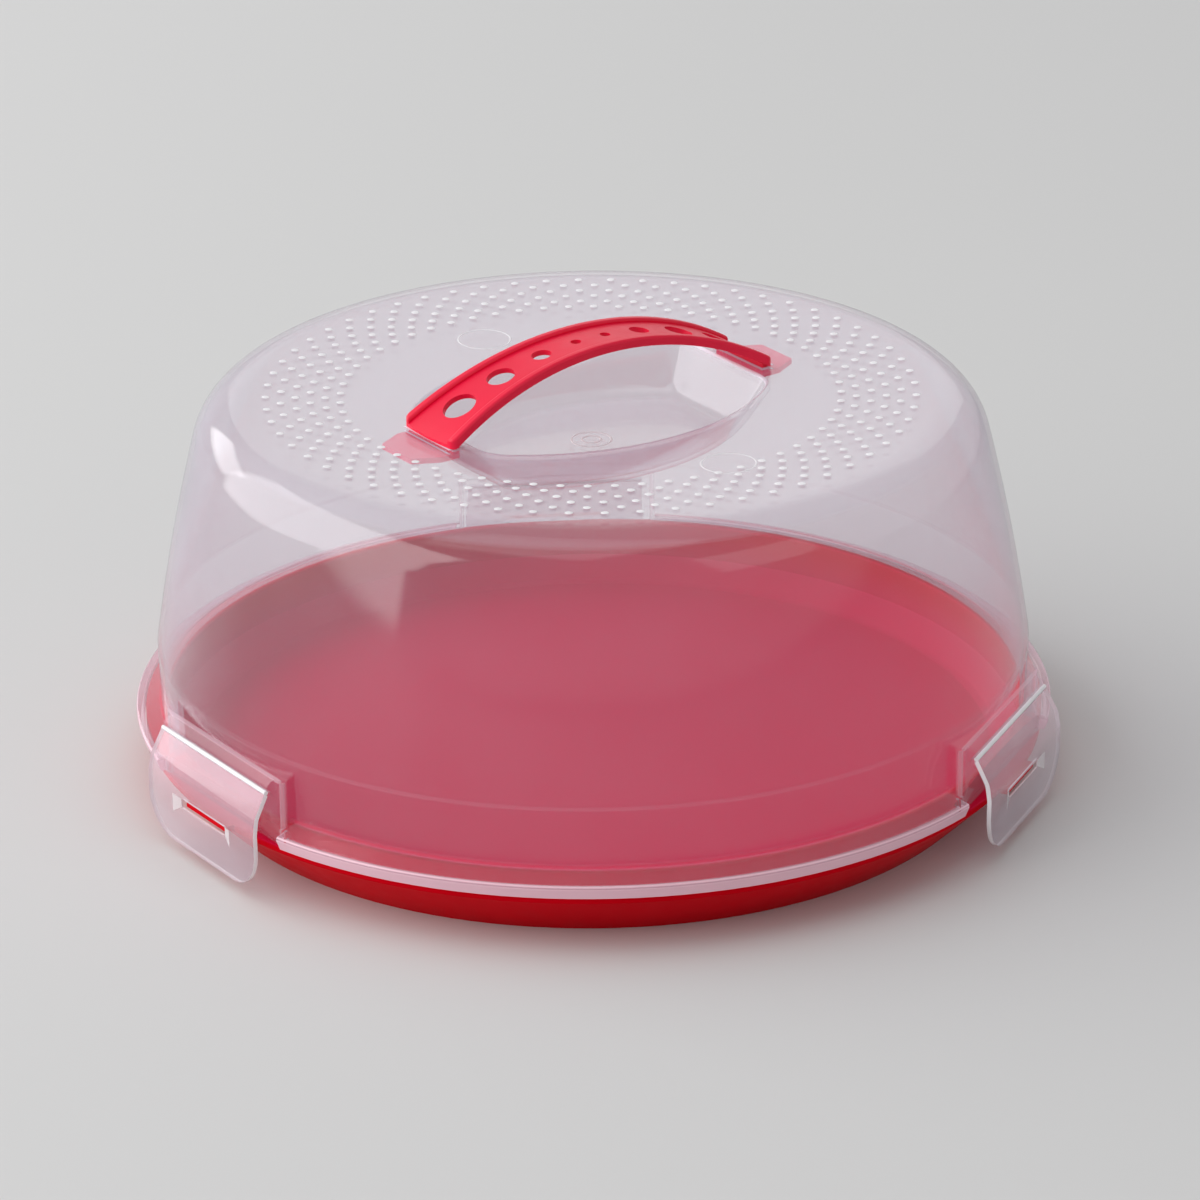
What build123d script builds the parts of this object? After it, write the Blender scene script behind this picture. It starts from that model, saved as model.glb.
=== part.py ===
from build123d import *
import math
import os

# Cake carrier: a round red tray, a tall translucent lid with a bridge handle, and three hinged latches.
# Millimetres. The origin is on the vertical axis at the surface the tray stands on, +Z is up,
# and +X runs along the handle.

# Running and fitting clearances
HINGE_RUNNING_GAP = 0.05
SEAT_GAP = 0.3
LIP_GAP = 0.4
LEG_GAP = 0.35
HANDLE_SEAT_GAP = 0.1
CATCH_GAP_BELOW = 0.5
CATCH_GAP_ABOVE = 1.1
CATCH_GAP_SIDE = 1.6

# Lid shell, measured on its outer face from the lip up to the top
LID_WALL = 1.6
RIM_RADIUS = 166.6
LIP_BOTTOM = 21.5
LIP_HEIGHT = 5.0
LIP_DRAFT = 1.4
LIP_EDGE_HEIGHT = 1.3
LIP_EDGE_ROUND = 1.1
LEDGE_WIDTH = 9.2
LEDGE_FALL = 2.9
BAND_HEIGHT = 21.6
BAND_LEAN = 0.6
SHOULDER_RADIUS = 19.8
SHOULDER_INSET = 34.6
SHOULDER_EXIT_ANGLE = 14.4
TOP_CENTRE_HEIGHT = 139.2
TOP_DISH_RADIUS = 2964.0

# Bridge handle, with its row of holes placed as shares of the way from its middle to its end
HANDLE_HALF_LENGTH = 69.5
HANDLE_MID_HALF_WIDTH = 12.3
HANDLE_END_HALF_WIDTH = 15.8
HANDLE_END_BULGE = 1.2
HANDLE_CORNER_ROUND = 2.5
HANDLE_RISE = 22.7
HANDLE_END_RISE = 1.75
HANDLE_WEB_THICKNESS = 2.0
HANDLE_RIM_RISE = 1.4
HANDLE_RIM_WIDTH = 3.3
HANDLE_RIM_ROUND = 1.0
HANDLE_HOLE_SHARES = (0.0914, 0.3058, 0.5583, 0.813)
HANDLE_HOLE_DIAMETERS = (3.9, 7.4, 10.5, 12.6)
LEG_THICKNESS = 2.6
LEG_SIDE_STEP = 1.8
LEG_SETBACK = 0.8
FOOT_REACH = 14.5
FOOT_STRAIGHT = 5.0
FOOT_TIP_STEP = 5.0
FOOT_THICKNESS = 2.0

# Finger well under the handle
WELL_DEPTH = 16.2
WELL_END_LAND = 8.5
WELL_HALF_WIDTH = 48.5
WELL_END_HALF_WIDTH = 23.8
WELL_CORNER_ROUND = 15.0
WELL_WALL_TAPER = 33.0
WELL_FLOOR_ROUND = 7.0
WELL_RIM_ROUND = 1.2
WELL_OVERRUN = 2.0

# Tray
TRAY_WALL = 2.2
TRAY_SIDE_RUN = 18.7
TRAY_FOOT_WIDTH = 6.0
TRAY_FOOT_HEIGHT = 3.0
TRAY_EDGE_SHOWN = 2.7
TRAY_EDGE_ROUND = 1.0
TRAY_FLOOR_ROUND = 4.0
TRAY_RIM_LAND = 2.4
CATCH_HALF_WIDTH = 12.9
CATCH_HEIGHT = 1.8

# Latches, evenly spaced from the first one, each in its pocket in the lid's side
LATCH_SIDES = ("left", "right", "rear")
FIRST_LATCH_ANGLE = 180.0
POCKET_STEP = 0.7
POCKET_DROP = 5.4
POCKET_HALF_WIDTH = 38.3
POCKET_CORNER_ROUND = 3.0
POCKET_TOP_SLOPE = 24.0
POCKET_TOP_DEPTH = 9.0
LEDGE_CUT_MARGIN = 1.2
HINGE_STEP = 3.3
HINGE_DROP = 4.4
HINGE_END_INSET = 4.2
HINGE_BEAD_RADIUS = 0.8
HINGE_BAR_HEIGHT = 2.6
FLAP_THICKNESS = 1.6
FLAP_PROUD = 1.7
FLAP_SIDE_GAP = 4.5
FLAP_KNEE_DROP = 8.7
FLAP_KNEE_RUN = 6.0
FLAP_WIDEST_DROP = 10.5
FLAP_BOTTOM = 4.4
FLAP_CORNER_ROUND = 15.0
FLAP_KNEE_INSET = 1.0
FLAP_BOTTOM_INSET = 0.3
FLAP_KNEE_ROUND = 8.0
SLOT_CORNER_ROUND = 0.9
BEVEL_SIDE = 4.3
BEVEL_BELOW = 2.6
BEVEL_ABOVE = 0.8
BEVEL_DEPTH = 1.0

# Lid sizes that follow from the ones above
LEDGE_TOP = LIP_BOTTOM + LIP_HEIGHT + LEDGE_FALL
CREASE_HEIGHT = LEDGE_TOP + BAND_HEIGHT
BAND_FOOT_RADIUS = RIM_RADIUS - LEDGE_WIDTH
CREASE_RADIUS = BAND_FOOT_RADIUS + BAND_LEAN
LEDGE_SLOPE = LEDGE_FALL / LEDGE_WIDTH
BELOW_LIP = LIP_BOTTOM - LID_WALL
SHOULDER_CENTRE_RADIUS = CREASE_RADIUS - SHOULDER_INSET
DISH_CENTRE_HEIGHT = TOP_CENTRE_HEIGHT + TOP_DISH_RADIUS
SHOULDER_REACH = TOP_DISH_RADIUS + SHOULDER_RADIUS
SHOULDER_CENTRE_HEIGHT = DISH_CENTRE_HEIGHT - math.sqrt(SHOULDER_REACH**2 - SHOULDER_CENTRE_RADIUS**2)
WELL_HALF_LENGTH = HANDLE_HALF_LENGTH - WELL_END_LAND
WELL_FLOOR_HEIGHT = TOP_CENTRE_HEIGHT - WELL_DEPTH
ABOVE_ALL = TOP_CENTRE_HEIGHT + 3 * SHOULDER_RADIUS

# Handle sizes that follow
LEG_NEAR = HANDLE_HALF_LENGTH - LEG_SETBACK - LEG_THICKNESS
LEG_HALF_WIDTH = HANDLE_END_HALF_WIDTH - LEG_SIDE_STEP
FOOT_TIP_HALF_WIDTH = LEG_HALF_WIDTH - FOOT_TIP_STEP

# Tray and latch sizes that follow
FLANGE_RADIUS = RIM_RADIUS - LIP_DRAFT - LID_WALL - LIP_GAP
TRAY_FOOT_RADIUS = FLANGE_RADIUS - TRAY_SIDE_RUN
CATCH_TOP = LIP_BOTTOM - SEAT_GAP
CATCH_BOTTOM = CATCH_TOP - CATCH_HEIGHT
SLOT_BOTTOM = CATCH_BOTTOM - CATCH_GAP_BELOW
SLOT_TOP = CATCH_TOP + CATCH_GAP_ABOVE
SLOT_HALF_WIDTH = CATCH_HALF_WIDTH + CATCH_GAP_SIDE
POCKET_DISTANCE = CREASE_RADIUS + POCKET_STEP
POCKET_TOP_FRONT = CREASE_HEIGHT - POCKET_DROP
LEDGE_CUT_HALF_WIDTH = POCKET_HALF_WIDTH + LEDGE_CUT_MARGIN
HINGE_DISTANCE = POCKET_DISTANCE + HINGE_STEP
HINGE_HEIGHT = POCKET_TOP_FRONT - HINGE_DROP
HINGE_HALF_WIDTH = POCKET_HALF_WIDTH - HINGE_END_INSET
FLAP_OUTER = RIM_RADIUS + FLAP_PROUD
FLAP_HALF_WIDTH = LEDGE_CUT_HALF_WIDTH - FLAP_SIDE_GAP
FLAP_KNEE_HEIGHT = HINGE_HEIGHT - FLAP_KNEE_DROP
FLAP_WIDEST_HEIGHT = FLAP_KNEE_HEIGHT - FLAP_WIDEST_DROP


def section_point(distance, height):
    """A point of a vertical section, as distance from the axis and height."""
    return Vector(distance, 0, height)


def revolved(edges):
    """Turn a closed outline in the XZ plane round the vertical axis."""
    return revolve(make_face(edges), Axis.Z, 360)


def extruded_section(points, half_width, rounds=()):
    """Extrude a polygon in the XZ plane to both sides, rounding the corners listed as (point, radius)."""
    outline = make_face(Polyline(*[section_point(*p) for p in points], close=True))
    solid = extrude(outline, amount=half_width, both=True)
    for point, radius in rounds:
        corner = section_point(*point)
        edges = [
            e
            for e in solid.edges().filter_by(Axis.Y)
            if math.hypot(e.center().X - corner.X, e.center().Z - corner.Z) < radius / 100
        ]
        solid = fillet(edges, radius)
    return solid


def block(near, far, half_width, low, high):
    """A box from near to far along X, centred across Y, from low to high."""
    centre = ((near + far) / 2, 0, (low + high) / 2)
    return Pos(*centre) * Box(far - near, 2 * half_width, high - low)


def latch_angle(side):
    """The angle from +X that the latch on a named side faces."""
    return FIRST_LATCH_ANGLE + 360 * LATCH_SIDES.index(side) / len(LATCH_SIDES)


def at_latch(side, shape):
    """Turn a shape modelled facing +X to the side that a latch faces."""
    return Rot(0, 0, latch_angle(side)) * shape


def top_height(distance):
    """Height of the lid's outer face on its dished top."""
    return DISH_CENTRE_HEIGHT - math.sqrt(TOP_DISH_RADIUS**2 - distance**2)


def ring_edges(solid, radius, height):
    """The round edges of a solid that lie at one radius and height."""
    return [
        e
        for e in solid.edges().filter_by(GeomType.CIRCLE)
        if math.hypot(e.radius - radius, e.arc_center.Z - height) < SEAT_GAP / 10
    ]


# Lid shell


def ledge_height(radius, inset):
    """Height of the ledge at a radius, or of the face that lies inset below it."""
    drop = inset * math.hypot(1, LEDGE_SLOPE)
    return LEDGE_TOP - LEDGE_SLOPE * (radius - BAND_FOOT_RADIUS) - drop


def dome_edges(inset):
    """The top, shoulder and side wall of the lid from the axis to the crease, inset from the outer face."""
    dish_radius = TOP_DISH_RADIUS + inset
    shoulder = SHOULDER_RADIUS - inset
    reach = dish_radius + shoulder
    lean = math.asin(SHOULDER_CENTRE_RADIUS / reach)
    exit_angle = math.radians(SHOULDER_EXIT_ANGLE)
    turn = (math.pi / 2 + lean + exit_angle) / 2

    def on_dish(angle):
        height = DISH_CENTRE_HEIGHT - dish_radius * math.cos(angle)
        return section_point(dish_radius * math.sin(angle), height)

    def on_shoulder(angle):
        return section_point(
            SHOULDER_CENTRE_RADIUS + shoulder * math.cos(angle),
            SHOULDER_CENTRE_HEIGHT + shoulder * math.sin(angle),
        )

    shoulder_start = on_shoulder(math.pi / 2 + lean)
    shoulder_end = on_shoulder(exit_angle)
    crease = section_point(CREASE_RADIUS - inset, CREASE_HEIGHT)
    wall_direction = Vector(math.sin(exit_angle), 0, -math.cos(exit_angle))
    return [
        ThreePointArc(on_dish(0), on_dish(lean / 2), shoulder_start),
        ThreePointArc(shoulder_start, on_shoulder(turn), shoulder_end),
        TangentArc(shoulder_end, crease, tangent=wall_direction),
    ]


def lid_outer_body():
    """The lid as if it were solid, down to the bottom of its lip."""
    edge_high = ledge_height(RIM_RADIUS, 0)
    skirt = Polyline(
        section_point(CREASE_RADIUS, CREASE_HEIGHT),
        section_point(BAND_FOOT_RADIUS, LEDGE_TOP),
        section_point(RIM_RADIUS, edge_high),
        section_point(RIM_RADIUS, edge_high - LIP_EDGE_HEIGHT),
        section_point(RIM_RADIUS - LIP_DRAFT, LIP_BOTTOM),
        section_point(0, LIP_BOTTOM),
        section_point(0, TOP_CENTRE_HEIGHT),
    )
    body = revolved(dome_edges(0) + [skirt])
    return fillet(ring_edges(body, RIM_RADIUS, edge_high), LIP_EDGE_ROUND)


def lid_inner_body():
    """The space inside the lid shell, run on below the lip."""
    band = BAND_FOOT_RADIUS - LID_WALL
    lip = RIM_RADIUS - LIP_DRAFT - LID_WALL
    lip_top = lip + LIP_DRAFT / 2
    skirt = Polyline(
        section_point(CREASE_RADIUS - LID_WALL, CREASE_HEIGHT),
        section_point(band, ledge_height(band, LID_WALL)),
        section_point(lip_top, ledge_height(lip_top, LID_WALL)),
        section_point(lip, LIP_BOTTOM),
        section_point(lip, BELOW_LIP),
        section_point(0, BELOW_LIP),
        section_point(0, TOP_CENTRE_HEIGHT - LID_WALL),
    )
    return revolved(dome_edges(LID_WALL) + [skirt])


def well_outline(grow):
    """Plan of the finger well: two long arcs closed by two short straight ends with rounded corners."""
    length = WELL_HALF_LENGTH + grow
    width = WELL_HALF_WIDTH + grow
    end = WELL_END_HALF_WIDTH + grow
    edges = [
        ThreePointArc((-length, end), (0, width), (length, end)),
        Line((length, end), (length, -end)),
        ThreePointArc((length, -end), (0, -width), (-length, -end)),
        Line((-length, -end), (-length, end)),
    ]
    outline = make_face(edges)
    return fillet(outline.vertices(), WELL_CORNER_ROUND + grow)


def well_body(grow):
    """The finger well as a solid bowl with tapered sides, grown on every face by the wall it needs."""
    floor = WELL_FLOOR_HEIGHT - grow
    top = TOP_CENTRE_HEIGHT + WELL_OVERRUN
    taper = math.radians(WELL_WALL_TAPER)
    widen = grow / math.cos(taper) + WELL_OVERRUN * math.tan(taper)
    bowl = extrude(Pos(0, 0, top) * well_outline(widen), amount=-(top - floor), taper=WELL_WALL_TAPER)
    floor_edges = bowl.faces().sort_by(Axis.Z)[0].edges()
    return fillet(floor_edges, WELL_FLOOR_ROUND + grow)


def pocket_block(inset):
    """The flat-fronted block that carries a latch, filled in towards the axis."""
    front = POCKET_DISTANCE - inset
    back = POCKET_DISTANCE - POCKET_HALF_WIDTH
    fall = math.tan(math.radians(POCKET_TOP_SLOPE))
    top_front = POCKET_TOP_FRONT - inset
    knee = front - POCKET_TOP_DEPTH
    bottom = LIP_BOTTOM if inset == 0 else BELOW_LIP
    points = [
        (back, bottom),
        (front, bottom),
        (front, top_front),
        (knee, top_front + fall * (front - knee)),
        (back, top_front + fall * (front - knee)),
    ]
    solid = extruded_section(points, POCKET_HALF_WIDTH - inset)
    front_edges = solid.faces().sort_by(Axis.X)[-1].edges().filter_by(Axis.Z)
    return fillet(front_edges, POCKET_CORNER_ROUND - inset)


def hinge_bar():
    """The bar on the front of a pocket that a latch hangs from, grooved for the bead of its hinge."""
    root = POCKET_DISTANCE - LID_WALL / 2
    nose = HINGE_DISTANCE - SEAT_GAP
    nose_top = HINGE_HEIGHT + HINGE_BAR_HEIGHT
    points = [
        (root, POCKET_TOP_FRONT),
        (POCKET_DISTANCE, POCKET_TOP_FRONT),
        (nose - HINGE_BEAD_RADIUS, nose_top + HINGE_BEAD_RADIUS / 2),
        (nose, nose_top - HINGE_BEAD_RADIUS / 2),
        (nose, HINGE_HEIGHT),
        (nose - 2 * HINGE_BEAD_RADIUS, HINGE_HEIGHT),
        (POCKET_DISTANCE, HINGE_HEIGHT - HINGE_BAR_HEIGHT),
        (root, HINGE_HEIGHT - HINGE_BAR_HEIGHT),
    ]
    bar = extruded_section(points, HINGE_HALF_WIDTH)
    return bar - hinge_cylinder(HINGE_BEAD_RADIUS + HINGE_RUNNING_GAP, HINGE_HALF_WIDTH + LID_WALL)


def hinge_cylinder(radius, half_width):
    """A round bar along a latch's hinge line."""
    return Pos(HINGE_DISTANCE, 0, HINGE_HEIGHT) * Rot(90, 0, 0) * Cylinder(radius, 2 * half_width)


def handle_slot():
    """The slot in the lid top that a leg of the handle passes through."""
    near = LEG_NEAR - LEG_GAP
    far = LEG_NEAR + LEG_THICKNESS + LEG_GAP
    return block(near, far, LEG_HALF_WIDTH + LEG_GAP, WELL_FLOOR_HEIGHT, ABOVE_ALL)


def lid_shell():
    """The whole lid: shell, finger well, latch pockets, hinge bars and handle slots."""
    outer = lid_outer_body() - well_body(0)
    mouth_edges = [
        e
        for e in outer.edges()
        if e.center().Z > TOP_CENTRE_HEIGHT - WELL_RIM_ROUND
        and math.hypot(e.center().X, e.center().Y) < SHOULDER_CENTRE_RADIUS / 2 + WELL_CORNER_ROUND
        and e.length > WELL_RIM_ROUND
    ]
    outer = fillet(mouth_edges, WELL_RIM_ROUND)
    inner = lid_inner_body()
    pocket_wall_half = LEDGE_CUT_HALF_WIDTH + LID_WALL
    wall_face = POCKET_DISTANCE - LID_WALL
    for side in LATCH_SIDES:
        outer = outer + at_latch(side, pocket_block(0))
        ledge_cut = block(POCKET_DISTANCE, 2 * RIM_RADIUS, LEDGE_CUT_HALF_WIDTH, 0, LEDGE_TOP + LID_WALL)
        outer = outer - at_latch(side, ledge_cut)
        pocket_wall = block(wall_face, 2 * RIM_RADIUS, pocket_wall_half, 0, LEDGE_TOP)
        inner = inner - at_latch(side, pocket_wall)
        inner = inner + at_latch(side, pocket_block(LID_WALL))
    inner = inner - well_body(LID_WALL)
    lid = outer - inner
    for side in LATCH_SIDES:
        lid = lid + at_latch(side, hinge_bar())
    for end_angle in (0, 180):
        lid = lid - Rot(0, 0, end_angle) * handle_slot()
    return lid


# Handle


def arch_radius():
    """Radius of the top of the handle's web, which rises from its ends to its middle."""
    sag = TOP_CENTRE_HEIGHT + HANDLE_RISE - top_height(HANDLE_HALF_LENGTH) - HANDLE_END_RISE
    return (HANDLE_HALF_LENGTH**2 + sag**2) / (2 * sag)


def arch_centre_height():
    """Height of the axis that the handle's arch curves about."""
    return TOP_CENTRE_HEIGHT + HANDLE_RISE - arch_radius()


def handle_plan(narrow, overrun):
    """Plan of the handle with waisted sides, drawn in by narrow at each side and run on at each end."""
    length = HANDLE_HALF_LENGTH + overrun
    mid = HANDLE_MID_HALF_WIDTH - narrow
    end = HANDLE_END_HALF_WIDTH - narrow
    bulge = length + HANDLE_END_BULGE
    edges = [
        ThreePointArc((-length, end), (0, mid), (length, end)),
        ThreePointArc((length, end), (bulge, 0), (length, -end)),
        ThreePointArc((length, -end), (0, -mid), (-length, -end)),
        ThreePointArc((-length, -end), (-bulge, 0), (-length, end)),
    ]
    outline = make_face(edges)
    if overrun == 0:
        outline = fillet(outline.vertices(), HANDLE_CORNER_ROUND)
    return outline


def arch_solid(radius):
    """Everything under the arch of the given radius, wider than the handle."""
    return Pos(0, 0, arch_centre_height()) * Rot(90, 0, 0) * Cylinder(radius, 2 * radius)


def on_rim_top(edge):
    """Whether an edge of the handle runs along the top of one of its rims."""
    rim_top = arch_radius() + HANDLE_RIM_RISE
    centre = arch_centre_height()
    points = [edge.position_at(share) for share in (0, 0.5, 1)]
    return all(abs(math.hypot(q.X, q.Z - centre) - rim_top) < HANDLE_RIM_ROUND / 100 for q in points)


def handle_piece():
    """The handle: waisted arched strap with raised rims, round holes, and a leg and foot at each end."""
    web_top = arch_radius()
    web_bottom = web_top - HANDLE_WEB_THICKNESS
    rim_top = web_top + HANDLE_RIM_RISE
    seat = top_height(HANDLE_HALF_LENGTH) + HANDLE_SEAT_GAP
    tall = TOP_CENTRE_HEIGHT + HANDLE_RISE
    strap = extrude(Pos(0, 0, seat) * handle_plan(0, 0), amount=tall)
    strap = (strap & arch_solid(rim_top)) - arch_solid(web_bottom)
    recess = extrude(Pos(0, 0, seat) * handle_plan(HANDLE_RIM_WIDTH, HANDLE_RIM_WIDTH), amount=tall)
    recess = recess - arch_solid(web_top)
    strap = strap - recess
    rim_edges = [e for e in strap.edges() if on_rim_top(e)]
    strap = fillet(rim_edges, HANDLE_RIM_ROUND)
    for share, diameter in zip(HANDLE_HOLE_SHARES, HANDLE_HOLE_DIAMETERS):
        for side in (-1, 1):
            lean = math.degrees(math.asin(side * share * HANDLE_HALF_LENGTH / web_top))
            drill = Pos(0, 0, web_top) * Cylinder(diameter / 2, web_top)
            strap = strap - Pos(0, 0, arch_centre_height()) * Rot(0, lean, 0) * drill
    for end_angle in (0, 180):
        strap = strap + Rot(0, 0, end_angle) * handle_leg()
    return strap


def handle_leg():
    """A leg down through the lid top, with a foot that turns outwards under it."""
    near = LEG_NEAR
    far = near + LEG_THICKNESS
    foot_top = top_height(near) - LID_WALL - SEAT_GAP
    web_middle = arch_centre_height() + math.sqrt(arch_radius() ** 2 - far**2) - HANDLE_WEB_THICKNESS / 2
    leg = block(near, far, LEG_HALF_WIDTH, foot_top - FOOT_THICKNESS, web_middle)
    plan = Polyline(
        (near, LEG_HALF_WIDTH),
        (far + FOOT_STRAIGHT, LEG_HALF_WIDTH),
        (far + FOOT_REACH, FOOT_TIP_HALF_WIDTH),
        (far + FOOT_REACH, -FOOT_TIP_HALF_WIDTH),
        (far + FOOT_STRAIGHT, -LEG_HALF_WIDTH),
        (near, -LEG_HALF_WIDTH),
        close=True,
    )
    foot = extrude(Pos(0, 0, foot_top) * make_face(plan), amount=-FOOT_THICKNESS)
    return leg + foot


# Latches


def offset_path(points, thickness):
    """The path that lies at one thickness to the left of a path of straight runs."""
    moved = []
    for index, point in enumerate(points):
        before = points[max(index - 1, 0)]
        after = points[min(index + 1, len(points) - 1)]
        into = math.atan2(point[1] - before[1], point[0] - before[0])
        out = math.atan2(after[1] - point[1], after[0] - point[0])
        if index == 0:
            into = out
        if index == len(points) - 1:
            out = into
        middle = (into + out) / 2
        reach = thickness / math.cos((out - into) / 2)
        moved.append((point[0] + reach * math.sin(middle), point[1] - reach * math.cos(middle)))
    return moved


def flap_section():
    """Outer face of a latch from its hinge to its bottom edge, as distances from the axis and heights."""
    hinge_face = HINGE_DISTANCE + HINGE_BEAD_RADIUS
    return [
        (hinge_face, HINGE_HEIGHT - HINGE_BEAD_RADIUS / 2),
        (FLAP_OUTER - FLAP_KNEE_INSET, FLAP_KNEE_HEIGHT),
        (FLAP_OUTER, FLAP_KNEE_HEIGHT - FLAP_KNEE_RUN),
        (FLAP_OUTER, SLOT_BOTTOM - BEVEL_BELOW),
        (FLAP_OUTER - FLAP_BOTTOM_INSET, FLAP_BOTTOM),
    ]


def flap_inner_distance():
    """Least distance from the axis to the inner face of a latch below its knee."""
    return FLAP_OUTER - FLAP_BOTTOM_INSET - FLAP_THICKNESS


def flap_front():
    """The latch as seen from the front, run through to the axis."""
    sides = [
        (HINGE_HALF_WIDTH, HINGE_HEIGHT + HINGE_BEAD_RADIUS),
        (FLAP_HALF_WIDTH, FLAP_WIDEST_HEIGHT),
        (FLAP_HALF_WIDTH, FLAP_BOTTOM),
    ]
    points = sides + [(-across, height) for across, height in reversed(sides)]
    outline = make_face(Polyline(*[Vector(0, *p) for p in points], close=True))
    solid = extrude(outline, amount=2 * RIM_RADIUS, dir=(1, 0, 0))
    bottom_edges = solid.edges().filter_by(Axis.X).sort_by(Axis.Z)[:2]
    return fillet(bottom_edges, FLAP_CORNER_ROUND)


def slot_bevel():
    """The sloped recess round the slot on the outside of a latch."""
    outer = [SLOT_HALF_WIDTH + BEVEL_SIDE, SLOT_BOTTOM - BEVEL_BELOW, SLOT_TOP + BEVEL_ABOVE]
    inner = [SLOT_HALF_WIDTH, SLOT_BOTTOM, SLOT_TOP]

    def frame(distance, half, low, high):
        corners = [(half, low), (half, high), (-half, high), (-half, low)]
        return make_face(Polyline(*[Vector(distance, *c) for c in corners], close=True))

    return loft([frame(FLAP_OUTER, *outer), frame(FLAP_OUTER - BEVEL_DEPTH, *inner)])


def latch_flap():
    """One latch: a bent flap with a slot that the tray's catch stands in."""
    outer = flap_section()
    inner = offset_path(outer, FLAP_THICKNESS)
    _, outer_knee, outer_shin, *_ = outer
    _, inner_knee, inner_shin, *_ = inner
    rounds = [
        (outer_knee, FLAP_KNEE_ROUND),
        (inner_knee, FLAP_KNEE_ROUND - FLAP_THICKNESS),
        (outer_shin, FLAP_KNEE_ROUND),
        (inner_shin, FLAP_KNEE_ROUND - FLAP_THICKNESS),
    ]
    flap = extruded_section(outer + list(reversed(inner)), FLAP_HALF_WIDTH, rounds) & flap_front()
    flap = flap - hinge_cylinder(HINGE_BEAD_RADIUS, HINGE_HALF_WIDTH + FLAP_THICKNESS)
    slot = block(0, 2 * RIM_RADIUS, SLOT_HALF_WIDTH, SLOT_BOTTOM, SLOT_TOP)
    slot = fillet(slot.edges().filter_by(Axis.X), SLOT_CORNER_ROUND)
    return flap - slot_bevel() - slot


def hinge_bead():
    """The round bead that a latch turns on."""
    return hinge_cylinder(HINGE_BEAD_RADIUS, HINGE_HALF_WIDTH)


# Tray


def tray_piece():
    """The tray: flat floor, foot ring, sloped side and a rim that the lid sits on, with three catches."""
    edge_bottom = LIP_BOTTOM - TRAY_EDGE_SHOWN
    steep = edge_bottom / TRAY_SIDE_RUN
    rim_inner = BAND_FOOT_RADIUS - TRAY_RIM_LAND
    floor_top = TRAY_FOOT_HEIGHT + TRAY_WALL
    shift = TRAY_WALL * math.hypot(1, steep) / steep

    def inner_slope(height):
        return TRAY_FOOT_RADIUS + height / steep - shift

    land_inner = ledge_height(BAND_FOOT_RADIUS, LID_WALL) - SEAT_GAP
    land_outer = ledge_height(FLANGE_RADIUS, LID_WALL) - SEAT_GAP
    edge_foot = (FLANGE_RADIUS, edge_bottom)
    edge_top = (FLANGE_RADIUS, land_outer)
    rim_corner = (rim_inner, land_inner)
    floor_corner = (inner_slope(floor_top), floor_top)
    points = [
        (0, TRAY_FOOT_HEIGHT),
        (TRAY_FOOT_RADIUS - TRAY_FOOT_WIDTH - TRAY_FOOT_HEIGHT, TRAY_FOOT_HEIGHT),
        (TRAY_FOOT_RADIUS - TRAY_FOOT_WIDTH, 0),
        (TRAY_FOOT_RADIUS, 0),
        edge_foot,
        edge_top,
        (BAND_FOOT_RADIUS, land_inner),
        rim_corner,
        (rim_inner, (rim_inner - TRAY_FOOT_RADIUS + shift) * steep),
        floor_corner,
        (0, floor_top),
    ]
    tray = revolved([Polyline(*[section_point(*p) for p in points], close=True)])
    for corner in (edge_foot, edge_top, rim_corner):
        tray = fillet(ring_edges(tray, *corner), TRAY_EDGE_ROUND)
    tray = fillet(ring_edges(tray, *floor_corner), TRAY_FLOOR_ROUND)
    notch_near = POCKET_DISTANCE - LID_WALL - LIP_GAP
    notch_half = LEDGE_CUT_HALF_WIDTH + LID_WALL + LIP_GAP
    for side in LATCH_SIDES:
        notch = block(notch_near, 2 * RIM_RADIUS, notch_half, CATCH_TOP, ABOVE_ALL)
        tray = tray - at_latch(side, notch)
        tray = tray + at_latch(side, tray_catch())
    return tray


def tray_catch():
    """The tab on the tray's rim that stands at a latch's slot."""
    tip = flap_inner_distance() - SEAT_GAP
    return block(FLANGE_RADIUS - TRAY_WALL, tip, CATCH_HALF_WIDTH, CATCH_BOTTOM, CATCH_TOP)


os.makedirs("parts", exist_ok=True)
pieces = {
    "tray": tray_piece(),
    "lid": lid_shell(),
    "handle": handle_piece(),
}
for latch_side in LATCH_SIDES:
    pieces[latch_side + "_latch"] = at_latch(latch_side, latch_flap())
    pieces[latch_side + "_hinge"] = at_latch(latch_side, hinge_bead())
for node, solid in pieces.items():
    export_step(solid, "parts/" + node + ".step")
    box = solid.bounding_box()
    print(node, round(solid.volume), [round(v, 2) for v in (*box.min, *box.max)])
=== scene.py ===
import logging
import math
from dataclasses import dataclass, field
from enum import Enum
from typing import Any, Callable, Iterable, Sequence, Union

import bmesh
import bpy
from mathutils import Matrix, Vector


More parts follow.
